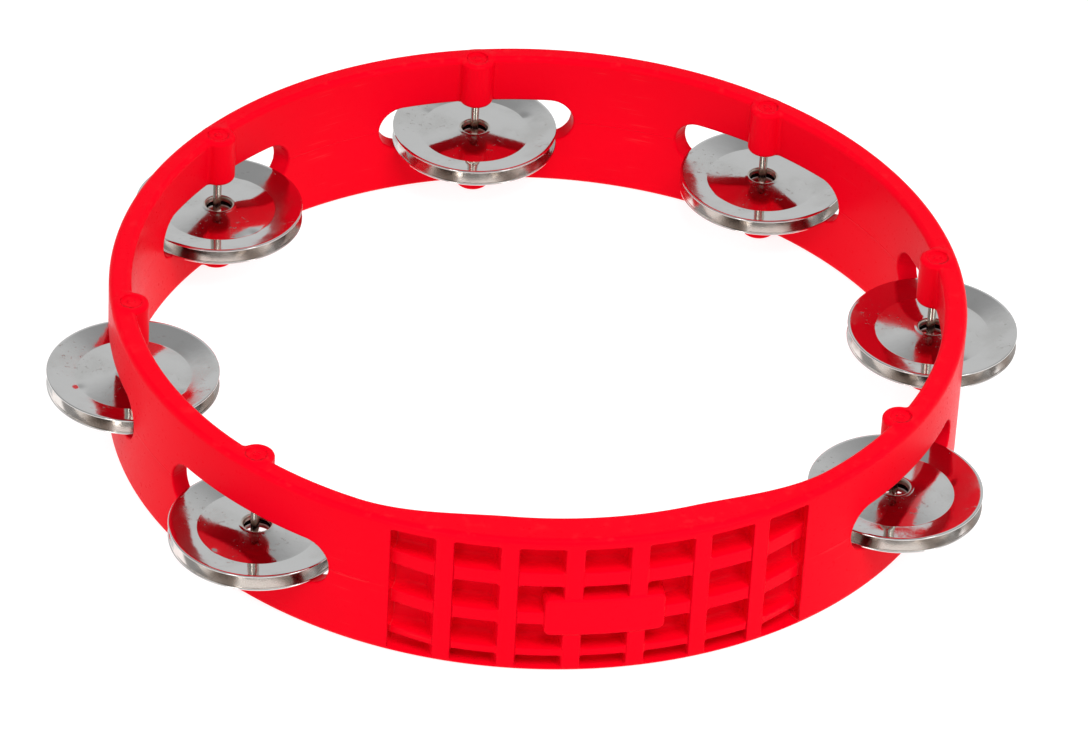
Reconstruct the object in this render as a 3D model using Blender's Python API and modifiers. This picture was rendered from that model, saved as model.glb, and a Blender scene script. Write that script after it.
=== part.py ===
"""A headless tambourine: a moulded plastic hoop with a ribbed hand grip, seven slots and seven jingle pairs.

Blender 4.5, metres, +Z up. The hoop lies flat on its bottom rim, with the grip at -Y. The origin is the middle of
the footprint, hoop and jingles together. A station is one slot with its two bosses, its nail and its two jingles;
its own frame has +Y pointing outwards from the hoop's axis, +X along the wall, and its origin on the nail's axis.
"""

from math import asin, cos, degrees, pi, radians, sin, sqrt

import bmesh
import bpy
from mathutils import Vector

# Hoop
HOOP_R = 0.1016  # outside radius: a 203.2 mm hoop
HOOP_H = 0.0372
BORE_R_TOP = 0.0961  # the inside wall has mould draft, so the bore is wider at the bottom rim
BORE_R_BOTTOM = 0.0974
RIM_ROUND = 0.0011
HOOP_STEPS = 96

# Hand grip: the wall thickens inwards over a smooth ramp, and its outside carries rows of pockets
GRIP_THICKEN = 0.0042
GRIP_RAMP_DEG = (13.0, 34.0)  # full thickness up to the first angle, none past the second
POCKET_COLUMNS = 7
POCKET_PITCH_DEG = 8.35
POCKET_W = 0.01045
POCKET_DEPTH = 0.005
POCKET_BACK = 0.0012  # least wall behind a pocket, where the grip thins towards its ends
POCKET_ROWS = ((0.0012, 0.0043), (0.0064, 0.0132), (0.0168, 0.0240), (0.0280, 0.0346))
PLATE_W = 0.0277
PLATE_Z = (0.0107, 0.0207)
PLATE_CORNER_R = 0.0016
PLATE_PROUD = 0.0003

# Stations, as headings from the rear of the hoop (+Y), clockwise seen from above
STATION_DEG = (0.0, 44.8, 89.5, 129.3, -129.3, -89.5, -44.8)
PIN_CIRCLE_R = 0.0967
BOSS_R = 0.0042
BOSS_INSET = 0.0002  # the bosses stop this far inside the rims' flats
SLOT_HALF_L = 0.02455
SLOT_Z = (0.0124, 0.0245)

# Nails
GAP = 0.0003
PIN_R = 0.001025
PIN_HEAD_R = 0.0022
PIN_HEAD_Z = (0.0005, 0.0014)
PIN_TIP_Z = SLOT_Z[1] + 0.0052
DIMPLE_R = 0.0025
DIMPLE_DEPTH = 0.00045

# Jingles: a dished disc whose crease is its lowest ring; the lower one of a pair is the mirror image
JINGLE_R = 0.0205
JINGLE_LIP = 0.00025
JINGLE_SHEET = 0.0005
JINGLE_CREASE_R = 0.0138
JINGLE_CREASE_DROP = 0.0014
JINGLE_HOLE_R = 0.0031
JINGLE_HOLE_DROP = 0.0001
JINGLE_STEPS = 32
PAIR_TOP_Z = 0.0172
PAIR_BOTTOM_Z = 0.0131
PAIR_LEAN = 0.0006  # how far a pair hangs off its nail's axis at rest
PAIR_LEAN_DEG = (-95.0, -95.0, -60.0, -60.0, 25.0, 15.0, -45.0)  # each pair's lean, from +X

RED = (0.62, 0.012, 0.022, 1.0)
JINGLE_STEEL = (0.62, 0.61, 0.60, 1.0)
NAIL_STEEL = (0.48, 0.47, 0.46, 1.0)


def clear_scene():
    for obj in list(bpy.data.objects):
        bpy.data.objects.remove(obj)


def new_collection(name, parent, hidden=False):
    collection = bpy.data.collections.new(name)
    collection.hide_render = hidden
    parent.children.link(collection)
    return collection


def new_material(name, colour, roughness, metallic):
    material = bpy.data.materials.new(name)
    material.diffuse_color = colour
    material.use_nodes = True
    shader = material.node_tree.nodes["Principled BSDF"]
    shader.inputs["Base Color"].default_value = colour
    shader.inputs["Roughness"].default_value = roughness
    shader.inputs["Metallic"].default_value = metallic
    return material


def new_object(name, data, collection, parent=None, location=(0.0, 0.0, 0.0)):
    obj = bpy.data.objects.new(name, data)
    obj.parent = parent
    obj.location = location
    collection.objects.link(obj)
    return obj


def hide_helper(obj):
    obj.hide_render = True
    obj.display_type = "WIRE"


def arc(centre, radius, start_deg, end_deg, steps):
    """Points along a circular arc in a plane, both ends included."""
    angles = [radians(start_deg + (end_deg - start_deg) * i / steps) for i in range(steps + 1)]
    return [(centre[0] + radius * cos(a), centre[1] + radius * sin(a)) for a in angles]


def profile_mesh(name, points, closed):
    """A wire of (radius, height) points in the XZ plane."""
    mesh = bpy.data.meshes.new(name)
    count = len(points)
    edges = [(i, (i + 1) % count) for i in range(count if closed else count - 1)]
    mesh.from_pydata([(r, 0.0, z) for r, z in points], edges, [])
    return mesh


def add_screw(obj, steps):
    screw = obj.modifiers.new("Turn", "SCREW")
    screw.axis = "Z"
    screw.angle = 2.0 * pi
    screw.steps = steps
    screw.render_steps = steps
    screw.use_merge_vertices = True
    screw.merge_threshold = 0.00001
    screw.use_smooth_shade = True


def add_boolean(obj, operation, other):
    boolean = obj.modifiers.new(operation.title(), "BOOLEAN")
    boolean.operation = operation
    boolean.solver = "EXACT"
    if isinstance(other, bpy.types.Collection):
        boolean.operand_type = "COLLECTION"
        boolean.collection = other
    else:
        boolean.object = other


def as_mesh(obj):
    """A mesh of the object as it is evaluated now, with doubled points joined; the object is removed."""
    bpy.context.view_layer.update()
    evaluated = obj.evaluated_get(bpy.context.evaluated_depsgraph_get())
    mesh = bpy.data.meshes.new_from_object(evaluated)
    mesh.name = obj.name
    bm = bmesh.new()
    bm.from_mesh(mesh)
    bmesh.ops.remove_doubles(bm, verts=bm.verts, dist=0.000001)
    bm.to_mesh(mesh)
    bm.free()
    bpy.data.objects.remove(obj)
    return mesh


def outline_prism(name, points, depth, collection):
    """The mesh of a flat outline, extruded by depth about its own plane."""
    curve = bpy.data.curves.new(name, "CURVE")
    curve.dimensions = "2D"
    curve.fill_mode = "BOTH"
    curve.extrude = depth / 2.0
    spline = curve.splines.new("POLY")
    spline.points.add(len(points) - 1)
    for point, (x, y) in zip(spline.points, points):
        point.co = (x, y, 0.0, 1.0)
    spline.use_cyclic_u = True
    return as_mesh(new_object(name, curve, collection))


def rounded_box_points(half_l, half_h, radius, steps):
    """A rounded rectangle about the origin; with radius equal to half_h it is a slot with round ends."""
    x = half_l - radius
    y = half_h - radius
    corners = ((x, y, 0.0), (-x, y, 90.0), (-x, -y, 180.0), (x, -y, 270.0))
    points = []
    for cx, cy, start in corners:
        points += arc((cx, cy), radius, start, start + 90.0, steps)
    distinct = [points[0]]
    for point in points[1:]:
        if (Vector(point) - Vector(distinct[-1])).length > 0.00001:
            distinct.append(point)
    return distinct


def grip_ramp(heading_deg):
    """1 over the middle of the grip, 0 away from it, from the angle off the grip's centre."""
    full, none = GRIP_RAMP_DEG
    t = min(max((none - heading_deg) / (none - full), 0.0), 1.0)
    return t * t * (3.0 - 2.0 * t)


def hoop_profile():
    """The wall's section, down the outside and up the inside."""
    r = RIM_ROUND
    outside = arc((HOOP_R - r, HOOP_H - r), r, 90.0, 0.0, 2) + arc((HOOP_R - r, r), r, 0.0, -90.0, 2)
    low = arc((BORE_R_BOTTOM + r, r), r, 270.0, 180.0, 2)
    high = arc((BORE_R_TOP + r, HOOP_H - r), r, 180.0, 90.0, 2)
    return outside + low + high


def hoop_mesh(collection):
    """The turned hoop, with its inside wall moved inwards over the grip."""
    turned = new_object("hoop_turned", profile_mesh("hoop_profile", hoop_profile(), True), collection)
    add_screw(turned, HOOP_STEPS)
    mesh = as_mesh(turned)
    middle_r = (HOOP_R + BORE_R_BOTTOM) / 2.0
    for vertex in mesh.vertices:
        flat = Vector((vertex.co.x, vertex.co.y))
        if flat.length < middle_r:
            off_grip_deg = abs(Vector((0.0, -1.0)).angle(flat)) * 180.0 / pi
            flat *= (flat.length - GRIP_THICKEN * grip_ramp(off_grip_deg)) / flat.length
            vertex.co.x, vertex.co.y = flat
    return mesh


def add_cylinder(name, radius, low, high, sides, collection, parent):
    """An upright cylinder between two heights on the parent's axis."""
    mesh = bpy.data.meshes.new(name)
    bm = bmesh.new()
    bmesh.ops.create_cone(
        bm, cap_ends=True, segments=sides, radius1=radius, radius2=radius, depth=high - low
    )
    bm.to_mesh(mesh)
    bm.free()
    obj = new_object(name, mesh, collection, parent, (0.0, 0.0, (low + high) / 2.0))
    hide_helper(obj)
    return obj


def nail_bore_mesh():
    """The cut for one nail: a recess for its head, and a blind hole up into the upper boss."""
    head_r = PIN_HEAD_R + GAP
    hole_r = PIN_R + GAP
    shoulder = PIN_HEAD_Z[1] + GAP
    top = PIN_TIP_Z + GAP
    points = [(0.0, top), (hole_r, top), (hole_r, shoulder), (head_r, shoulder), (head_r, -0.001), (0.0, -0.001)]
    return profile_mesh("nail_bore", points, False)


def nail_mesh():
    head_low, head_high = PIN_HEAD_Z
    points = [(0.0, PIN_TIP_Z), (PIN_R * 0.7, PIN_TIP_Z), (PIN_R, PIN_TIP_Z - 0.0004)]
    points += [(PIN_R, head_high), (PIN_HEAD_R, head_high), (PIN_HEAD_R, head_low), (0.0, head_low)]
    return profile_mesh("nail", points, False)


def jingle_mesh(name, side):
    """One dished disc about its own axis, from its rim at height 0; side is 1 for the upper jingle, -1 for the lower."""
    half = JINGLE_SHEET / 2.0
    crease = -half - JINGLE_CREASE_DROP
    hole = -half - JINGLE_HOLE_DROP
    upper_face = [(JINGLE_HOLE_R, hole + half), (JINGLE_CREASE_R, crease + half), (JINGLE_R - JINGLE_LIP, 0.0)]
    lower_face = [(JINGLE_R - JINGLE_LIP, -2.0 * half), (JINGLE_CREASE_R, crease - half), (JINGLE_HOLE_R, hole - half)]
    points = upper_face + [(JINGLE_R, -half)] + lower_face
    if side < 0:
        points = [(r, -z) for r, z in reversed(points)]
    return profile_mesh(name, points, True)


def pocket_outline(heading, low):
    """Plan of a pocket: sides that run straight to the front, and a back that follows the wall's inside."""
    middle = HOOP_R * sin(heading)
    half_w = POCKET_W / 2.0 * cos(heading)
    bore = BORE_R_BOTTOM + (BORE_R_TOP - BORE_R_BOTTOM) * low / HOOP_H
    across = [middle + half_w * side for side in (-1.0, 0.0, 1.0)]
    inner = []
    for x in reversed(across):
        thick = GRIP_THICKEN * grip_ramp(abs(degrees(asin(x / bore))))
        back = max(HOOP_R - POCKET_DEPTH, bore - thick + POCKET_BACK)
        inner.append((x, -sqrt(back**2 - x**2)))
    return [(across[0], -HOOP_R - POCKET_DEPTH), (across[2], -HOOP_R - POCKET_DEPTH)] + inner


def add_grip_cutters(collection, hoop_axis):
    """The pockets, in columns round the grip and rows up the wall, all sunk straight in from the front."""
    middle = (POCKET_COLUMNS - 1) / 2.0
    for column in range(POCKET_COLUMNS):
        heading = radians((column - middle) * POCKET_PITCH_DEG)
        for row, (low, high) in enumerate(POCKET_ROWS):
            name = f"pocket_{column}_{row}"
            outline = pocket_outline(heading, low)
            mesh = outline_prism(name, outline, high - low, collection)
            hide_helper(new_object(name, mesh, collection, hoop_axis, (0.0, 0.0, (low + high) / 2.0)))


def add_plate(collection, hoop_axis):
    """The blank plate in the middle of the grip: a curved band trimmed to a rounded rectangle."""
    low, high = PLATE_Z
    deep = HOOP_R - POCKET_DEPTH - 0.0012
    proud = HOOP_R + PLATE_PROUD
    band = [(proud, high + 0.002), (proud, low - 0.002), (deep, low - 0.002), (deep, high + 0.002)]
    plate = new_object("grip_plate", profile_mesh("grip_plate", band, True), collection, hoop_axis)
    add_screw(plate, HOOP_STEPS)
    outline = rounded_box_points(PLATE_W / 2.0, (high - low) / 2.0, PLATE_CORNER_R, 3)
    prism = outline_prism("plate_outline", outline, 0.03, collection)
    trim = new_object("plate_outline", prism, collection, hoop_axis, (0.0, -HOOP_R, (low + high) / 2.0))
    trim.rotation_euler.x = pi / 2.0
    add_boolean(plate, "INTERSECT", trim)
    hide_helper(plate)
    hide_helper(trim)
    return plate


def add_hoop(parts, helpers, hoop_axis, stations, material):
    """The one-piece hoop: turned wall, bosses joined on, slots, nail holes and grip pockets cut out."""
    bosses = new_collection("bosses", helpers, hidden=True)
    cutters = new_collection("cutters", helpers, hidden=True)
    hoop = new_object("hoop", hoop_mesh(parts), parts, hoop_axis)
    hoop.data.materials.append(material)

    half_h = (SLOT_Z[1] - SLOT_Z[0]) / 2.0
    slot = outline_prism("slot", rounded_box_points(SLOT_HALF_L, half_h, half_h, 6), 0.03, cutters)
    bore = nail_bore_mesh()
    for number, station in enumerate(stations, 1):
        add_cylinder(f"boss_{number}", BOSS_R, BOSS_INSET, HOOP_H - BOSS_INSET, 20, bosses, station)
        top = HOOP_H - BOSS_INSET
        add_cylinder(f"dimple_{number}", DIMPLE_R, top - DIMPLE_DEPTH, top + 0.001, 16, cutters, station)
        slot_cut = new_object(f"slot_{number}", slot, cutters, station, (0.0, 0.0, sum(SLOT_Z) / 2.0))
        slot_cut.rotation_euler.x = pi / 2.0
        hide_helper(slot_cut)
        bore_cut = new_object(f"nail_bore_{number}", bore, cutters, station)
        add_screw(bore_cut, 12)
        hide_helper(bore_cut)
    add_grip_cutters(cutters, hoop_axis)

    add_boolean(hoop, "UNION", bosses)
    add_boolean(hoop, "DIFFERENCE", cutters)
    add_boolean(hoop, "UNION", add_plate(helpers, hoop_axis))
    hoop.data.shade_smooth()
    hoop.data.set_sharp_from_angle(angle=radians(30.0))


def add_turned(name, mesh, steps, parts, station, location=(0.0, 0.0, 0.0)):
    obj = new_object(name, mesh, parts, station, location)
    add_screw(obj, steps)
    return obj


def add_station_pieces(parts, stations, nail_material, jingle_material):
    """A nail, an upper jingle and a lower jingle at each station."""
    nail = nail_mesh()
    nail.materials.append(nail_material)
    upper = jingle_mesh("jingle_upper", 1)
    lower = jingle_mesh("jingle_lower", -1)
    upper.materials.append(jingle_material)
    lower.materials.append(jingle_material)
    for number, (station, lean_deg) in enumerate(zip(stations, PAIR_LEAN_DEG), 1):
        turn = radians(lean_deg) - station.rotation_euler.z
        x, y = PAIR_LEAN * cos(turn), PAIR_LEAN * sin(turn)
        add_turned(f"pin_{number}", nail, 12, parts, station)
        add_turned(f"jingle_upper_{number}", upper, JINGLE_STEPS, parts, station, (x, y, PAIR_TOP_Z))
        add_turned(f"jingle_lower_{number}", lower, JINGLE_STEPS, parts, station, (x, y, PAIR_BOTTOM_Z))


def add_stations(parts, hoop_axis):
    """An empty on each nail's axis, turned so that its +Y points outwards."""
    stations = []
    for number, heading_deg in enumerate(STATION_DEG, 1):
        heading = radians(heading_deg)
        place = (PIN_CIRCLE_R * sin(heading), PIN_CIRCLE_R * cos(heading), 0.0)
        station = new_object(f"station_{number}", None, parts, hoop_axis, place)
        station.rotation_euler.z = -heading
        stations.append(station)
    return stations


def main():
    clear_scene()
    root = bpy.context.scene.collection
    parts = new_collection("tambourine", root)
    helpers = new_collection("helpers", root, hidden=True)
    rear_reach = PIN_CIRCLE_R + JINGLE_R
    hoop_axis = new_object("hoop_axis", None, parts, None, (0.0, (HOOP_R - rear_reach) / 2.0, 0.0))
    stations = add_stations(parts, hoop_axis)
    red = new_material("red_plastic", RED, 0.35, 0.0)
    jingle_steel = new_material("jingle_steel", JINGLE_STEEL, 0.18, 1.0)
    nail_steel = new_material("nail_steel", NAIL_STEEL, 0.3, 1.0)
    add_hoop(parts, helpers, hoop_axis, stations, red)
    add_station_pieces(parts, stations, nail_steel, jingle_steel)


main()
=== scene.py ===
"""Looks for the tambourine: a satin red moulded hoop, bright steel jingle pairs, their nails and a studio.

Metres, +Z up, in the CAD frame. The hoop is meshed from one smooth level function written in the hoop's own
round coordinates: heading (clockwise from +Y, seen from above), radius and height. A level is below zero
inside plastic.
"""

from math import cos, pi, radians, sin, tan

import bmesh
import bpy
import numpy as np
from mathutils import Matrix, Vector


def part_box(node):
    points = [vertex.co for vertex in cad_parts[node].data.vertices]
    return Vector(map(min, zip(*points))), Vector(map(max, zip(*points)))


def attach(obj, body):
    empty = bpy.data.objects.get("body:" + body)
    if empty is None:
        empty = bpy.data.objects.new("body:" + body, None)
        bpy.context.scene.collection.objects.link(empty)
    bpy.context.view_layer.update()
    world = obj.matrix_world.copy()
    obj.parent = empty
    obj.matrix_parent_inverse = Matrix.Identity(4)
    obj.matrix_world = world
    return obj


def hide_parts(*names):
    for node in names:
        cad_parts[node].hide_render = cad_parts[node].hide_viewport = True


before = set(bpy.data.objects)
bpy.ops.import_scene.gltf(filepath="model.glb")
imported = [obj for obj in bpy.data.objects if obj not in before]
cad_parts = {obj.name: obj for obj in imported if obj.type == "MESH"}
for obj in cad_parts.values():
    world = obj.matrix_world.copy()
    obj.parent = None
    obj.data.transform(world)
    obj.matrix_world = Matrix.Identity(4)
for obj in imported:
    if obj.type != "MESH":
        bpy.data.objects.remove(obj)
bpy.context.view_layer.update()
STATIONS = range(1, 8)

# Hoop: its box is read from the frame, and the inside wall has mould draft
HOOP_LOW, HOOP_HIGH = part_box("hoop")
HOOP_R = HOOP_HIGH.x
HOOP_H = HOOP_HIGH.z
AXIS = Vector((0.0, HOOP_HIGH.y - HOOP_R, 0.0))
PLATE_PROUD = AXIS.y - HOOP_R - HOOP_LOW.y
BORE_R_TOP = HOOP_R - 0.0055
BORE_R_BOTTOM = HOOP_R - 0.0042
RIM_ROUND = 0.0014
FINE_ROUND = 0.0002  # rounding of the finest edges

# Stations: one slot with a boss above and below it, the nail's hole and the mark on top of the upper boss
BOSS_R = 0.0042
BOSS_INSET = 0.0001
BOSS_ROUND = 0.0009
BOSS_FOOT_ROUND = 0.0011
BOSS_FILLET = 0.0007
SLOT_HALF_L = 0.02455
SLOT_LOW = 0.0124
SLOT_HIGH = 0.0245
SLOT_EDGE = 0.0004
STATION_SPAN = radians(16.0)
DIMPLE_R = 0.0025
DIMPLE_DEPTH = 0.00035
GATE_R = 0.0008
GATE_DROP = 0.0001  # how far the gate mark stops below the boss's end
GATE_ROOT = 0.002
HOLE_PLAY = 0.00005  # round a nail in its hole
TIP_PLAY = 0.0001
HEAD_PLAY = 0.0002

# Hand grip: the wall thickens inwards over a smooth ramp, and a panel of pockets is sunk into its outside
GRIP_THICKEN = 0.0042
GRIP_RAMP_DEG = (13.0, 34.0)  # full thickness up to the first angle, none past the second
GRIP_HALF = radians(28.05)
GRIP_MARGIN = radians(3.0)  # past the panel's ends, where its level is still worked out
POCKET_COLUMNS = 7
POCKET_PITCH = radians(8.35)
POCKET_W = 0.01045
POCKET_DEPTH = 0.005
POCKET_ROWS = ((0.0012, 0.0043), (0.0064, 0.0132), (0.0168, 0.0240), (0.0280, 0.0346))
POCKET_DRAFT = 0.03
POCKET_TIGHT = 0.0001  # how much a pocket is narrower, each side, at its floor
POCKET_BACK = 0.0012  # least wall behind a pocket
POCKET_ROUND = 0.0007
POCKET_FLOOR_ROUND = 0.0014
RIB_DROP = 0.0003
RIB_END_DROP = 0.0020
CHASE_ROUND = 0.0003
PLATE_W = 0.0277
PLATE_Z = (0.0107, 0.0207)
PLATE_CORNER_R = 0.0016
PLATE_ROUND = 0.0004
PLATE_ROOT = 0.001  # how far the plate reaches behind the pockets' floors

# Mesh of the hoop
CELL = 0.0004
CELLS_PAST_WALL = 2.5
ROWS_PAST_RIM = 1.5
HOOP_TRIANGLES = 190_000
SLOPE_STEP = 0.00002
LEAST_SLOPE_SQUARED = 0.05  # keeps a Newton step finite where the level is flat
MERGE = 0.000001

# Nails
NAIL_LOW, NAIL_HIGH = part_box("pin_1")
NAIL_R = 0.001025
NAIL_HEAD_R = (NAIL_HIGH.x - NAIL_LOW.x) / 2.0
NAIL_HEAD_H = 0.0009

# Jingles
JINGLE_R = 0.0205
SHEET = 0.00045
SHEET_BEND = 0.0006
SHEET_STEP = 0.0005  # longest stretch of a jingle's profile
CREASE_R = 0.0138
CREASE_DROP = 0.0014
DISH_RISE = 0.0013
HOLE_R = 0.0031
JINGLE_STEPS = 160
RIPPLE = 0.000035  # how far the pressed sheet wanders from true
RIPPLE_END_R = JINGLE_R - 0.001
RIPPLE_EASE = 0.004
DENT_R = 0.0141
DENTS = 3
DENT_DEPTH = 0.00011
DENT_SPREAD = 0.0014
DENT_LIP = 0.35  # height of the raised ground round a dent, as a share of its depth
DENT_LIP_SPREAD = 2.4
DISC_SPIN_DEG = (19.0, -33.0, 50.0, 10.0, -23.0, 79.0, 60.0)  # each upper disc's own turn
LOWER_SPIN_STEP = 2.1
LOWER_SPIN_START = 0.4

# Colours, linear
RED_DEEP = (0.72, 0.0002, 0.0080, 1.0)
RED_LIGHT = (0.77, 0.0003, 0.0115, 1.0)
RED_SCUFFED = (0.90, 0.25, 0.24, 1.0)
PLATE_BRIGHT = (0.67, 0.66, 0.645, 1.0)
PLATE_HANDLED = (0.60, 0.59, 0.57, 1.0)
PLATE_SPECK = (0.34, 0.31, 0.28, 1.0)
PLATE_TARNISH = (0.50, 0.40, 0.32, 1.0)
# Inner faces of a pair: the darker colour is partly stain and partly painted shade of the gap between the
# two discs
INSIDE_BRIGHT = (0.86, 0.84, 0.82, 1.0)
INSIDE_STAIN_AND_SHADE = (0.46, 0.42, 0.39, 1.0)
WIRE = (0.62, 0.57, 0.50, 1.0)
WIRE_STAINED = (0.50, 0.42, 0.34, 1.0)
FLOOR_GREY = (0.35, 0.35, 0.35, 1.0)
FLOOR_GLOW = (1.0, 1.0, 1.0, 1.0)
SKY = (0.96, 0.98, 1.0, 1.0)

# Studio
FLOOR_HALF = 6.0
FLOOR_GAP = 0.0002


# ---------------------------------------------------------------- level functions

def round_union(a, b, r):
    """Union of two levels, with a fillet of radius r where they meet."""
    return np.maximum(r, np.minimum(a, b)) - np.hypot(np.maximum(r - a, 0.0), np.maximum(r - b, 0.0))


def round_cross(a, b, r):
    """Intersection of two levels, with its edge rounded to radius r."""
    return np.minimum(-r, np.maximum(a, b)) + np.hypot(np.maximum(r + a, 0.0), np.maximum(r + b, 0.0))


def round_cut(a, b, r):
    """The first level with the second cut away, and the cut's edge rounded to radius r."""
    return round_cross(a, -b, r)


def band(value, low, high):
    return np.abs(value - (low + high) / 2.0) - (high - low) / 2.0


def smooth_step(t):
    t = np.clip(t, 0.0, 1.0)
    return t * t * (3.0 - 2.0 * t)


def off_grip(heading):
    """Angle from the middle of the grip, which is at heading pi."""
    return np.remainder(heading, 2.0 * pi) - pi


def bore_radius(heading, z):
    full, none = (radians(a) for a in GRIP_RAMP_DEG)
    thick = GRIP_THICKEN * smooth_step((none - np.abs(off_grip(heading))) / (none - full))
    return BORE_R_BOTTOM + (BORE_R_TOP - BORE_R_BOTTOM) * z / HOOP_H - thick


def hoop_wall(heading, r, z):
    """The plain wall with rounded rims, draft inside and the thick stretch at the grip."""
    return round_cross(band(r, bore_radius(heading, z), HOOP_R), band(z, 0.0, HOOP_H), RIM_ROUND)


def add_station(level, across, out, z):
    """Bosses, slot, nail hole and the upper boss's mark; across and out are measured from the nail."""
    from_nail = np.hypot(across, out)
    half_h = (SLOT_HIGH - SLOT_LOW) / 2.0
    past_end = np.maximum(np.abs(across) - (SLOT_HALF_L - half_h), 0.0)
    slot = np.hypot(past_end, z - (SLOT_HIGH + SLOT_LOW) / 2.0) - half_h
    boss = round_cross(from_nail - BOSS_R, band(z, BOSS_INSET, HOOP_H - BOSS_INSET), BOSS_ROUND)
    boss = round_cut(boss, slot, BOSS_FOOT_ROUND)
    level = round_union(round_cut(level, slot, SLOT_EDGE), boss, BOSS_FILLET)
    dimple = round_cross(from_nail - DIMPLE_R, HOOP_H - BOSS_INSET - DIMPLE_DEPTH - z, FINE_ROUND)
    level = round_cut(level, dimple, FINE_ROUND)
    gate = np.maximum(from_nail - GATE_R, band(z, HOOP_H - GATE_ROOT, HOOP_H - BOSS_INSET - GATE_DROP))
    level = round_union(level, gate, FINE_ROUND)
    hole = np.maximum(from_nail - NAIL_R - HOLE_PLAY, z - NAIL_HIGH.z - TIP_PLAY)
    recess = np.maximum(from_nail - NAIL_HEAD_R - HEAD_PLAY, z - NAIL_LOW.z - NAIL_HEAD_H - HEAD_PLAY)
    return np.maximum(level, -np.minimum(hole, recess))


def rib_drop(off):
    """How far the cross ribs lie behind the uprights; in the outermost columns they slope away."""
    start = GRIP_HALF - POCKET_W / HOOP_R
    share = np.clip((np.abs(off) - start) / (GRIP_HALF - start), 0.0, 1.0)
    return RIB_DROP + (RIB_END_DROP - RIB_DROP) * share


def add_grip(level, heading, r, z):
    """Columns of pockets with cross ribs between them, and the blank plate; all sides run straight out."""
    across = r * np.sin(off_grip(heading))
    off = np.arcsin(np.clip(across / HOOP_R, -1.0, 1.0))
    outermost = POCKET_COLUMNS // 2
    middle = np.clip(np.round(off / POCKET_PITCH), -outermost, outermost) * POCKET_PITCH
    floor = np.maximum(HOOP_R - POCKET_DEPTH, bore_radius(heading, z) + POCKET_BACK)
    draft = POCKET_DRAFT * (r - floor) - POCKET_TIGHT
    half_w = POCKET_W / 2.0 * np.cos(middle)
    sides = np.abs(across - HOOP_R * np.sin(middle)) - half_w - draft
    chase = round_cross(sides, band(z, POCKET_ROWS[0][0], POCKET_ROWS[-1][1]), CHASE_ROUND)
    chase = np.maximum(chase, HOOP_R - rib_drop(off) - r)
    level = round_cut(level, chase, FINE_ROUND)
    for low, high in POCKET_ROWS:
        pocket = round_cross(sides, band(z, low, high) - draft, POCKET_ROUND)
        level = round_cut(level, round_cross(pocket, floor - r, POCKET_FLOOR_ROUND), FINE_ROUND)
    c = PLATE_CORNER_R
    qx = band(across, -PLATE_W / 2.0, PLATE_W / 2.0) + c
    qz = band(z, *PLATE_Z) + c
    outline = np.hypot(np.maximum(qx, 0.0), np.maximum(qz, 0.0)) + np.minimum(np.maximum(qx, qz), 0.0) - c
    slab = round_cross(outline, r - HOOP_R - PLATE_PROUD, PLATE_ROUND)
    return round_union(level, np.maximum(slab, floor - PLATE_ROOT - r), FINE_ROUND)


def nail_places():
    """Each nail's heading and radius from the hoop's axis, read from the frame."""
    places = []
    for number in STATIONS:
        low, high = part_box(f"pin_{number}")
        flat = ((low + high) / 2.0 - AXIS).to_2d()
        places.append((np.arctan2(flat.x, flat.y), flat.length))
    return places


NAIL_PLACES = nail_places()


def hoop_level(heading, r, z):
    """The whole hoop's level."""
    level = hoop_wall(heading, r, z)
    for nail_heading, nail_r in NAIL_PLACES:
        turn = heading - nail_heading
        near = np.cos(turn) > cos(STATION_SPAN)
        across = r[near] * np.sin(turn[near])
        out = r[near] * np.cos(turn[near]) - nail_r
        level[near] = add_station(level[near], across, out, z[near])
    near = np.abs(off_grip(heading)) < GRIP_HALF + GRIP_MARGIN
    level[near] = add_grip(level[near], heading[near], r[near], z[near])
    return level


def level_at(points):
    """The hoop's level at x, y, z points."""
    x = points[:, 0] - AXIS.x
    y = points[:, 1] - AXIS.y
    return hoop_level(np.arctan2(x, y), np.hypot(x, y), points[:, 2])


def slope_at(points):
    """The level's slope along x, y and z at each point."""
    slope = np.empty_like(points)
    for k in range(3):
        shift = np.zeros(3)
        shift[k] = SLOPE_STEP
        slope[:, k] = (level_at(points + shift) - level_at(points - shift)) / (2.0 * SLOPE_STEP)
    return slope


# ---------------------------------------------------------------- meshing

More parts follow.
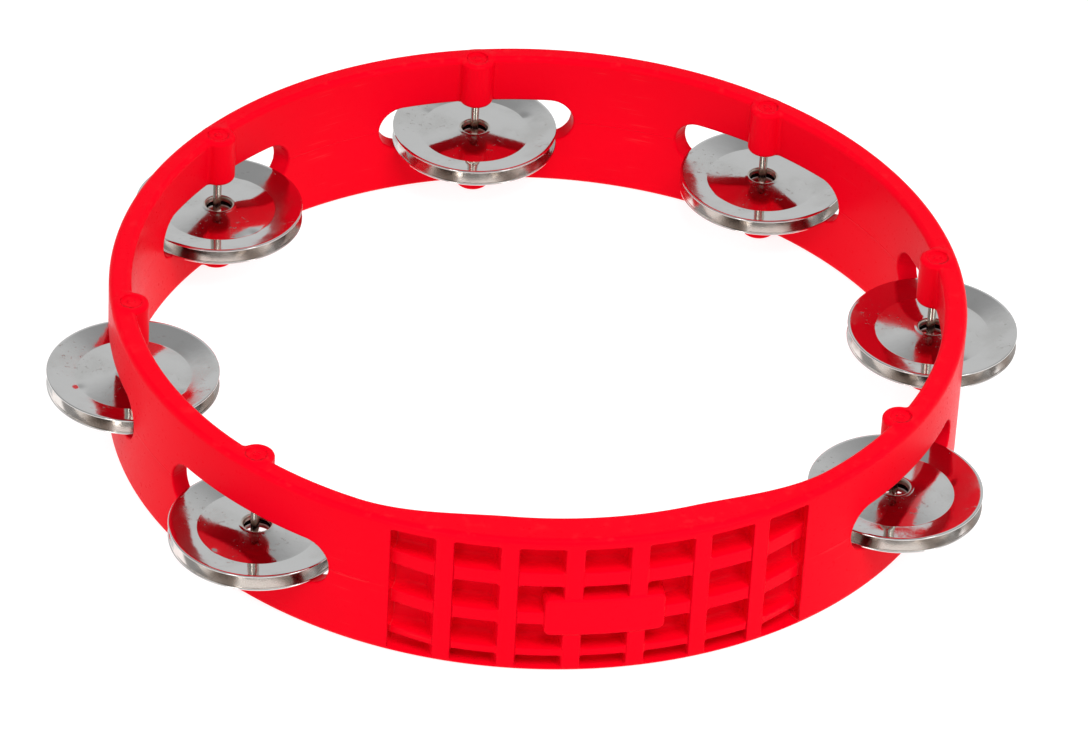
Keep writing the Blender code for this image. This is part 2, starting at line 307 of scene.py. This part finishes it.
def surface_net(values):
    """The zero surface of a grid whose first axis wraps round: its corners, in grid steps, and its quads."""
    nt, nr, nz = values.shape
    inside = values < 0.0
    wrapped = np.concatenate([values, values[:1]], axis=0)
    corner = {}
    for di in (0, 1):
        for dj in (0, 1):
            for dk in (0, 1):
                corner[di, dj, dk] = wrapped[di:di + nt, dj:dj + nr - 1, dk:dk + nz - 1]
    signs = np.stack([c < 0.0 for c in corner.values()])
    active = signs.any(axis=0) & ~signs.all(axis=0)
    cells = np.argwhere(active)
    number = np.full(active.shape, -1, np.int64)
    number[active] = np.arange(len(cells))

    total = np.zeros((len(cells), 3))
    count = np.zeros(len(cells))
    for a in corner:
        for axis in range(3):
            if a[axis]:
                continue
            b = tuple(v + (k == axis) for k, v in enumerate(a))
            va = corner[a][active]
            vb = corner[b][active]
            crossed = (va < 0.0) != (vb < 0.0)
            share = np.where(crossed, va / np.where(crossed, va - vb, 1.0), 0.0)
            place = np.array(a, float)[None, :] + share[:, None] * np.eye(3)[axis]
            total[crossed] += place[crossed]
            count[crossed] += 1.0
    places = cells + total / count[:, None]

    quads = []

    def add_quads(around, first_inside):
        faces = np.stack(around, 1)
        quads.append(np.where(first_inside[:, None], faces, faces[:, ::-1]))

    i, j, k = np.nonzero((inside != np.roll(inside, -1, axis=0))[:, 1:-1, 1:-1])
    j = j + 1
    k = k + 1
    around = [number[i, j - 1, k - 1], number[i, j, k - 1], number[i, j, k], number[i, j - 1, k]]
    add_quads(around, inside[i, j, k])
    i, j, k = np.nonzero((inside[:, :-1] != inside[:, 1:])[:, :, 1:-1])
    k = k + 1
    before = (i - 1) % nt
    around = [number[before, j, k - 1], number[before, j, k], number[i, j, k], number[i, j, k - 1]]
    add_quads(around, inside[i, j, k])
    i, j, k = np.nonzero((inside[:, :, :-1] != inside[:, :, 1:])[:, 1:-1])
    j = j + 1
    before = (i - 1) % nt
    around = [number[before, j - 1, k], number[i, j - 1, k], number[i, j, k], number[before, j, k]]
    add_quads(around, inside[i, j, k])
    return places, np.concatenate(quads)


def settle(points, rounds):
    """Newton steps onto the zero level, kept between the hoop's rims."""
    for _ in range(rounds):
        slope = slope_at(points)
        step = slope * (level_at(points) / np.maximum((slope**2).sum(1), LEAST_SLOPE_SQUARED))[:, None]
        length = np.linalg.norm(step, axis=1)
        step *= np.minimum(1.0, 0.5 * CELL / np.maximum(length, 1e-9))[:, None]
        points = points - step
        points[:, 2] = np.clip(points[:, 2], 0.0, HOOP_H)
    return points


def thinned(mesh, triangles):
    """The mesh of quads with its flattest stretches merged, down to a number of triangles."""
    obj = bpy.data.objects.new("thinning", mesh)
    bpy.context.scene.collection.objects.link(obj)
    thin = obj.modifiers.new("Thin", "DECIMATE")
    thin.ratio = triangles / (2.0 * len(mesh.polygons))
    thin.use_collapse_triangulate = True
    evaluated = obj.evaluated_get(bpy.context.evaluated_depsgraph_get())
    result = bpy.data.meshes.new_from_object(evaluated)
    result.name = mesh.name
    bpy.data.objects.remove(obj)
    return result


def hoop_mesh():
    """The hoop's surface from a round grid, pulled onto its level before and after it is thinned."""
    turns = int(round(2.0 * pi * HOOP_R / CELL))
    innermost = min(BORE_R_TOP - GRIP_THICKEN, NAIL_PLACES[0][1] - BOSS_R)
    radii = np.arange(innermost - CELLS_PAST_WALL * CELL, HOOP_R + CELLS_PAST_WALL * CELL, CELL)
    rows = int(round(HOOP_H / CELL))
    row_h = HOOP_H / rows
    heights = np.linspace(-ROWS_PAST_RIM, rows + ROWS_PAST_RIM, rows + 1 + int(2 * ROWS_PAST_RIM)) * row_h
    headings = np.arange(turns) * 2.0 * pi / turns
    grid = np.meshgrid(headings, radii, heights, indexing="ij")
    level = hoop_level(*(g.ravel() for g in grid)).reshape(grid[0].shape)
    places, quads = surface_net(level)
    heading = places[:, 0] * 2.0 * pi / turns
    r = radii[0] + places[:, 1] * CELL
    z = heights[0] + places[:, 2] * row_h
    points = settle(np.stack([AXIS.x + r * np.sin(heading), AXIS.y + r * np.cos(heading), z], 1), 3)

    mesh = bpy.data.meshes.new("hoop_moulding")
    mesh.from_pydata(points.tolist(), [], quads.tolist())
    mesh = thinned(mesh, HOOP_TRIANGLES)
    points = np.empty(len(mesh.vertices) * 3)
    mesh.vertices.foreach_get("co", points)
    points = settle(points.reshape(-1, 3), 2)
    mesh.vertices.foreach_set("co", points.ravel())
    normals = slope_at(points)
    normals /= np.linalg.norm(normals, axis=1)[:, None]
    mesh.shade_smooth()
    mesh.normals_split_custom_set_from_vertices(normals.tolist())
    return mesh


def turned_mesh(name, profile, steps, shape=None):
    """A (radius, height) profile turned about Z, ending on the axis or closed; shape may move the points."""
    count = len(profile)
    closed = profile[0][0] > MERGE
    angles = np.arange(steps) * 2.0 * pi / steps
    points = np.array([(r * cos(a), r * sin(a), z) for a in angles for r, z in profile])
    if shape:
        points = shape(points)
    faces = []
    for s in range(steps):
        here = s * count
        there = (s + 1) % steps * count
        for i in range(count if closed else count - 1):
            j = (i + 1) % count
            faces.append((here + i, here + j, there + j, there + i))
    mesh = bpy.data.meshes.new(name)
    mesh.from_pydata(points.tolist(), [], faces)
    bm = bmesh.new()
    bm.from_mesh(mesh)
    bmesh.ops.remove_doubles(bm, verts=bm.verts, dist=MERGE)
    bmesh.ops.recalc_face_normals(bm, faces=bm.faces)
    bm.to_mesh(mesh)
    bm.free()
    mesh.shade_smooth()
    return mesh


# ---------------------------------------------------------------- jingles and nails

def bend(points, radius, steps=4):
    """A polyline of (r, z) points with each inner corner turned into an arc of the radius."""
    out = [points[0]]
    for before, at, after in zip(points, points[1:], points[2:]):
        at = Vector(at)
        to_before = Vector(before) - at
        to_after = Vector(after) - at
        half = to_before.angle(to_after) / 2.0
        back = min(radius / tan(half), 0.45 * to_before.length, 0.45 * to_after.length)
        start = at + to_before.normalized() * back
        end = at + to_after.normalized() * back
        middle = at + (to_before.normalized() + to_after.normalized()).normalized() * back / cos(half)
        for i in range(steps + 1):
            spoke = start.lerp(end, i / steps) - middle
            out.append(tuple(middle + spoke.normalized() * (start - middle).length))
    out.append(points[-1])
    return out


def refine(points, longest):
    """The polyline with its long stretches divided."""
    out = [points[0]]
    for a, b in zip(points, points[1:]):
        a = Vector(a)
        b = Vector(b)
        parts = max(1, int((b - a).length / longest))
        out += [tuple(a.lerp(b, i / parts)) for i in range(1, parts + 1)]
    return out


def sheet_profile(centre, thickness):
    """A closed outline of even thickness round a centre line of (r, z) points, with round ends."""
    line = [Vector(p) for p in centre]
    half = thickness / 2.0
    last = len(line) - 1
    tangents = [(line[min(i + 1, last)] - line[max(i - 1, 0)]).normalized() for i in range(last + 1)]
    normals = [Vector((-t.y, t.x)) for t in tangents]
    one = [p + n * half for p, n in zip(line, normals)]
    other = [p - n * half for p, n in zip(line, normals)]

    def round_end(p, n, t):
        return [p + n * half * cos(a) + t * half * sin(a) for a in (radians(36 * k) for k in range(1, 5))]

    end = round_end(line[-1], normals[-1], tangents[-1])
    start = round_end(line[0], -normals[0], -tangents[0])
    return [tuple(p) for p in one + end + other[::-1] + start]


def jingle_mesh(name, side, turn):
    """A dished disc with its rim's upper face at height 0; side is -1 for the mirror image.

    The sheet's centre line runs from the rim's narrow flat down to the crease, up to the dish and round a
    collar that turns down into the hole. Turn is the disc's own spin, which its dents and ripples follow.
    """
    half = SHEET / 2.0
    crease = -half - CREASE_DROP
    dish = crease + DISH_RISE
    centre = [
        (JINGLE_R - half, -half - 0.00002),
        (JINGLE_R - 0.0006, -half - 0.00004),
        (CREASE_R, crease),
        (HOLE_R + 0.0012, dish - 0.0001),
        (HOLE_R + 0.00045, dish + 0.00012),
        (HOLE_R + half, dish - 0.0003),
        (HOLE_R + half, dish - 0.0009),
    ]
    profile = sheet_profile(refine(bend(centre, SHEET_BEND), SHEET_STEP), SHEET)

    def worn(points):
        radius = np.hypot(points[:, 0], points[:, 1])
        angle = np.arctan2(points[:, 1], points[:, 0]) - turn
        inner = smooth_step((RIPPLE_END_R - radius) / RIPPLE_EASE)
        ripple = np.sin(2.0 * angle + turn) + 0.5 * np.sin(3.0 * angle + 2.3 * turn + 300.0 * radius)
        points[:, 2] += RIPPLE * inner * ripple * radius / JINGLE_R
        for dent in range(DENTS):
            at = turn + dent * 2.0 * pi / DENTS
            away = np.hypot(points[:, 0] - DENT_R * cos(at), points[:, 1] - DENT_R * sin(at)) / DENT_SPREAD
            points[:, 2] += DENT_DEPTH * DENT_LIP * np.exp(-((away / DENT_LIP_SPREAD) ** 2))
            points[:, 2] -= DENT_DEPTH * (1.0 + DENT_LIP) * np.exp(-(away**2))
        points[:, 2] *= side
        return points

    return turned_mesh(name, profile, JINGLE_STEPS, worn)


def nail_mesh():
    """The nail from its blunt point down its shank to the shoulder and the round-edged head."""
    top = NAIL_HIGH.z
    low = NAIL_LOW.z
    shoulder = low + NAIL_HEAD_H
    profile = [(0.0, top), (NAIL_R * 0.55, top - 0.0001)]
    profile += [(NAIL_R * 0.9, top - 0.0008), (NAIL_R, top - 0.0014)]
    profile += [(NAIL_R, z) for z in np.linspace(top - 0.003, shoulder + 0.0006, 9)]
    profile += [(NAIL_R + 0.00012, shoulder + 0.0002), (NAIL_R + 0.0003, shoulder)]
    profile += [(NAIL_HEAD_R - 0.0001, shoulder - 0.00005), (NAIL_HEAD_R, shoulder - 0.0002)]
    profile += [(NAIL_HEAD_R, low + 0.0002), (NAIL_HEAD_R - 0.00015, low + 0.00003)]
    profile += [(NAIL_R, low), (NAIL_R * 0.6, low + 0.00006), (0.0, low + 0.00006)]
    return turned_mesh("nail", profile, 32)


# ---------------------------------------------------------------- materials

def new_material(name):
    material = bpy.data.materials.new(name)
    material.use_nodes = True
    return material, material.node_tree.nodes["Principled BSDF"]


def add_node(material, kind, inputs=None, **settings):
    """The outputs of a new shader node; an input given as a socket is linked, and any other value is set."""
    node = material.node_tree.nodes.new("ShaderNode" + kind)
    for key, value in settings.items():
        setattr(node, key, value)
    for key, value in (inputs or {}).items():
        if isinstance(value, bpy.types.NodeSocket):
            material.node_tree.links.new(value, node.inputs[key])
        else:
            node.inputs[key].default_value = value
    return node.outputs


def maths(material, operation, *values):
    return add_node(material, "Math", dict(enumerate(values)), operation=operation)[0]


def ramp(material, value, low, high, to_low=0.0, to_high=1.0):
    """The value eased from one range to another."""
    inputs = {"Value": value, "From Min": low, "From Max": high, "To Min": to_low, "To Max": to_high}
    return add_node(material, "MapRange", inputs, interpolation_type="SMOOTHSTEP")["Result"]


def noise(material, coords, scale, detail=3.0, stretch=(1.0, 1.0, 1.0)):
    """Noise from 0 to 1; stretch multiplies the coordinates, so a larger number makes that way finer."""
    placed = add_node(material, "Mapping", {"Vector": coords, "Scale": stretch})["Vector"]
    return add_node(material, "TexNoise", {"Vector": placed, "Scale": scale, "Detail": detail})["Fac"]


def mixed(material, share, one, other):
    """One colour at share 0, the other at share 1."""
    inputs = {0: share, 6: one, 7: other}
    return add_node(material, "Mix", inputs, data_type="RGBA")[2]


def connect(material, shader, **sockets):
    """Links each value to the shader's input of that name, base_color to Base Color and so on."""
    for name, value in sockets.items():
        material.node_tree.links.new(value, shader.inputs[name.replace("_", " ").title()])


def red_plastic():
    """Moulded plastic: faint flow marks, fine grain, a parting line, the grip panel's edge and scuffs."""
    material, shader = new_material("moulded_red")
    coords = add_node(material, "TexCoord")["Object"]
    x, y, z = add_node(material, "SeparateXYZ", {0: coords})
    y = maths(material, "SUBTRACT", y, AXIS.y)
    off = maths(material, "ABSOLUTE", maths(material, "ARCTAN2", x, maths(material, "MULTIPLY", y, -1.0)))

    flow = noise(material, coords, 28.0)
    grain = noise(material, coords, 900.0, 4.0)
    along = add_node(material, "CombineXYZ", {0: maths(material, "MULTIPLY", off, HOOP_R), 2: z})[0]
    streaks = ramp(material, noise(material, along, 60.0, 3.0, (1.0, 1.0, 26.0)), 0.62, 0.70)
    patches = ramp(material, noise(material, along, 30.0, 1.0), 0.55, 0.68)
    scuffs = maths(material, "MULTIPLY", streaks, patches)
    from_rim = maths(material, "MINIMUM", z, maths(material, "SUBTRACT", HOOP_H, z))
    rim = ramp(material, from_rim, 0.0, 0.0012, 1.0, 0.0)
    wear = maths(material, "MULTIPLY", rim, ramp(material, noise(material, coords, 420.0, 5.0), 0.56, 0.72))

    from_middle = maths(material, "ABSOLUTE", maths(material, "SUBTRACT", z, HOOP_H / 2.0))
    parting = ramp(material, from_middle, 0.00004, 0.00022, 1.0, 0.0)
    parting = maths(material, "MULTIPLY", parting, ramp(material, off, GRIP_HALF + 0.02, GRIP_HALF + 0.06))
    from_end = maths(material, "ABSOLUTE", maths(material, "SUBTRACT", off, GRIP_HALF + 0.001))
    end_line = ramp(material, from_end, 0.0006, 0.0018, 1.0, 0.0)
    end_line = maths(material, "MULTIPLY", end_line, maths(material, "LESS_THAN", z, POCKET_ROWS[-1][1]))
    broken = ramp(material, noise(material, coords, 170.0), 0.35, 0.6)
    end_line = maths(material, "MULTIPLY", end_line, broken)

    colour = mixed(material, flow, RED_DEEP, RED_LIGHT)
    pale = maths(material, "MULTIPLY", scuffs, 0.05)
    pale = maths(material, "ADD", pale, maths(material, "MULTIPLY", wear, 0.02))
    pale = maths(material, "ADD", pale, maths(material, "MULTIPLY", end_line, 0.07))
    colour = mixed(material, pale, colour, RED_SCUFFED)
    rough = ramp(material, grain, 0.3, 0.7, 0.27, 0.37)
    rough = maths(material, "ADD", rough, maths(material, "MULTIPLY", pale, 0.8))

    height = maths(material, "MULTIPLY", grain, 0.000006)
    height = maths(material, "ADD", height, maths(material, "MULTIPLY", flow, 0.00012))
    height = maths(material, "ADD", height, maths(material, "MULTIPLY", parting, 0.00005))
    height = maths(material, "ADD", height, maths(material, "MULTIPLY", end_line, 0.00008))
    height = maths(material, "SUBTRACT", height, maths(material, "MULTIPLY", scuffs, 0.000004))
    bump = add_node(material, "Bump", {"Height": height, "Distance": 1.0, "Strength": 1.0})["Normal"]
    connect(material, shader, base_color=colour, roughness=rough, normal=bump)
    shader.inputs["IOR"].default_value = 1.49
    shader.inputs["Specular IOR Level"].default_value = 0.02
    return material


def jingle_steel(side):
    """Bright plated sheet: fine turned rings, smears, tarnish at the hole, and on the inner faces a patchy
    stain that also paints the shade of the gap between the two discs.
    """
    material, shader = new_material("plated_sheet")
    places = add_node(material, "TexCoord")
    coords = places["Object"]
    facing = maths(material, "MULTIPLY", add_node(material, "SeparateXYZ", {0: places["Normal"]})[2], side)
    x, y = add_node(material, "SeparateXYZ", {0: coords})[:2]
    flat = add_node(material, "CombineXYZ", {0: x, 1: y})[0]
    radius = add_node(material, "VectorMath", {0: flat}, operation="LENGTH")["Value"]
    smear = noise(material, coords, 95.0, 5.0)
    rings = maths(material, "SINE", maths(material, "MULTIPLY", radius, 21000.0))
    rings = maths(material, "MULTIPLY", rings, ramp(material, noise(material, coords, 320.0), 0.4, 0.7))
    specks = ramp(material, noise(material, coords, 900.0, 3.0), 0.60, 0.70)
    patches = ramp(material, noise(material, coords, 70.0, 1.0), 0.50, 0.62)
    specks = maths(material, "MULTIPLY", specks, patches)
    tarnish = ramp(material, radius, HOLE_R + 0.0002, HOLE_R + 0.0010, 1.0, 0.0)
    cloud = ramp(material, smear, 0.42, 0.70)

    colour = mixed(material, cloud, PLATE_BRIGHT, PLATE_HANDLED)
    colour = mixed(material, maths(material, "MULTIPLY", specks, 0.45), colour, PLATE_SPECK)
    colour = mixed(material, maths(material, "MULTIPLY", tarnish, 0.75), colour, PLATE_TARNISH)
    # Faces turned towards the other disc get a patchy stain, which also paints the shade in the gap between
    # the discs
    inward = ramp(material, facing, -0.1, -0.6, 0.0, 1.0)
    stains_and_shade = ramp(material, noise(material, coords, 70.0, 1.0), 0.47, 0.57)
    colour = mixed(material, inward, colour, mixed(material, stains_and_shade, INSIDE_BRIGHT, INSIDE_STAIN_AND_SHADE))
    rough = ramp(material, cloud, 0.0, 1.0, 0.075, 0.16)
    rough = maths(material, "ADD", rough, maths(material, "MULTIPLY", specks, 0.2))
    rough = maths(material, "ADD", rough, maths(material, "MULTIPLY", inward, 0.04))
    rough = maths(material, "ADD", rough, maths(material, "MULTIPLY", tarnish, 0.20))
    height = maths(material, "MULTIPLY", rings, 0.00000012)
    height = maths(material, "ADD", height, maths(material, "MULTIPLY", smear, 0.00007))
    bump = add_node(material, "Bump", {"Height": height, "Distance": 1.0, "Strength": 1.0})["Normal"]
    connect(material, shader, base_color=colour, roughness=rough, normal=bump)
    shader.inputs["Metallic"].default_value = 1.0
    return material


def nail_steel():
    """Plain drawn wire, with fine lines along it and a warmer stain."""
    material, shader = new_material("drawn_wire")
    coords = add_node(material, "TexCoord")["Object"]
    lines = noise(material, coords, 2600.0, 2.0, (1.0, 1.0, 0.03))
    stain = ramp(material, noise(material, coords, 500.0, 4.0), 0.42, 0.68)
    colour = mixed(material, stain, WIRE, WIRE_STAINED)
    rough = ramp(material, lines, 0.3, 0.7, 0.12, 0.24)
    rough = maths(material, "ADD", rough, maths(material, "MULTIPLY", stain, 0.08))
    height = maths(material, "MULTIPLY", lines, 0.000006)
    bump = add_node(material, "Bump", {"Height": height, "Distance": 1.0, "Strength": 1.0})["Normal"]
    connect(material, shader, base_color=colour, roughness=rough, normal=bump)
    shader.inputs["Metallic"].default_value = 1.0
    return material


# ---------------------------------------------------------------- the object

def new_piece(name, mesh, material, node, place=Vector()):
    """An object that stands for a CAD node and rides on the body of the same name."""
    obj = bpy.data.objects.new(name, mesh)
    bpy.context.scene.collection.objects.link(obj)
    if not mesh.materials:
        mesh.materials.append(material)
    obj.location = place
    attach(obj, node)
    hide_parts(node)


def add_object():
    """The hoop, and at each station its nail and two jingles, placed by the CAD nodes' boxes."""
    disc_steel = {side: jingle_steel(side) for side in (1, -1)}
    wire_steel = nail_steel()
    new_piece("hoop_moulding", hoop_mesh(), red_plastic(), "hoop")
    nail = nail_mesh()
    for number in STATIONS:
        low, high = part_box(f"pin_{number}")
        middle = (low + high) / 2.0
        place = Vector((middle.x, middle.y, 0.0))
        new_piece(f"nail_{number}", nail, wire_steel, f"pin_{number}", place)
        spin = radians(DISC_SPIN_DEG[number - 1])
        lower_spin = LOWER_SPIN_STEP * number + LOWER_SPIN_START
        for word, side, turn in (("upper", 1, spin), ("lower", -1, lower_spin)):
            low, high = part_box(f"jingle_{word}_{number}")
            place = (low + high) / 2.0
            place.z = high.z if side > 0 else low.z
            mesh = jingle_mesh(f"disc_{word}_{number}", side, turn)
            new_piece(mesh.name, mesh, disc_steel[side], f"jingle_{word}_{number}", place)


# ---------------------------------------------------------------- studio

def add_floor():
    """A white floor that glows a little, so that it stays pale under the hoop."""
    mesh = bpy.data.meshes.new("floor")
    half = FLOOR_HALF
    corners = [(-half, -half, 0.0), (half, -half, 0.0), (half, half, 0.0), (-half, half, 0.0)]
    mesh.from_pydata(corners, [], [(0, 1, 2, 3)])
    floor = bpy.data.objects.new("floor", mesh)
    floor.location.z = -FLOOR_GAP
    bpy.context.scene.collection.objects.link(floor)
    material, shader = new_material("pale_floor")
    shader.inputs["Base Color"].default_value = FLOOR_GREY
    shader.inputs["Emission Color"].default_value = FLOOR_GLOW
    shader.inputs["Emission Strength"].default_value = 0.85
    shader.inputs["Roughness"].default_value = 0.9
    shader.inputs["Specular IOR Level"].default_value = 0.0
    mesh.materials.append(material)


def add_softbox(name, place, width, height, power):
    """A rectangular area light that faces the hoop."""
    light = bpy.data.lights.new(name, "AREA")
    light.shape = "RECTANGLE"
    light.size = width
    light.size_y = height
    light.energy = power
    obj = bpy.data.objects.new(name, light)
    obj.location = place
    obj.rotation_euler = (AXIS - Vector(place)).to_track_quat("-Z", "Y").to_euler()
    bpy.context.scene.collection.objects.link(obj)
    return obj


def add_lights():
    """An uneven sky, two small softboxes at the front, and three large ones that the metal can't mirror."""
    world = bpy.data.worlds.new("studio")
    world.use_nodes = True
    background = world.node_tree.nodes["Background"]
    direction = add_node(world, "TexCoord")["Generated"]
    strength = ramp(world, noise(world, direction, 1.4, 0.0), 0.36, 0.64, 0.38, 0.74)
    world.node_tree.links.new(strength, background.inputs["Strength"])
    background.inputs["Color"].default_value = SKY
    bpy.context.scene.world = world
    key = add_softbox("key", (0.15, -0.75, 1.35), 0.9, 0.7, 17.5)
    left = add_softbox("left", (-1.5, 0.0, 0.85), 1.6, 1.4, 8.0)
    right = add_softbox("right", (1.5, 0.1, 0.85), 1.5, 1.4, 5.5)
    for softbox in (key, left, right):
        softbox.visible_glossy = False
    add_softbox("front_left", (-0.95, -1.3, 0.6), 0.35, 0.6, 3.4)
    add_softbox("front_right", (0.95, -1.3, 0.6), 0.35, 0.6, 2.8)
    bpy.context.scene.view_settings.view_transform = "Standard"


def add_camera():
    """A long lens 1.57 m away, looking down by 35.7 degrees at the hoop turned by 11 degrees."""
    distance = 1.574
    down = radians(35.742)
    roll = radians(3.241)
    turned = Matrix.Rotation(radians(-11.0), 3, "Z")
    aim = AXIS + turned @ Vector((0.0023, 0.0178, 0.0))
    ahead = turned @ Vector((0.0, cos(down), -sin(down)))
    data = bpy.data.cameras.new("camera")
    data.sensor_width = 36.0
    data.lens = 215.07
    data.clip_end = 20.0
    camera = bpy.data.objects.new("camera", data)
    side = ahead.cross(Vector((0.0, 0.0, 1.0))).normalized()
    up = side.cross(ahead)
    right = side * cos(roll) + up * sin(roll)
    above = up * cos(roll) - side * sin(roll)
    turn = Matrix((right, above, -ahead)).transposed().to_4x4()
    camera.matrix_world = Matrix.Translation(aim - ahead * distance) @ turn
    bpy.context.scene.collection.objects.link(camera)
    bpy.context.scene.camera = camera


add_object()
add_floor()
add_lights()
add_camera()
bpy.context.view_layer.update()
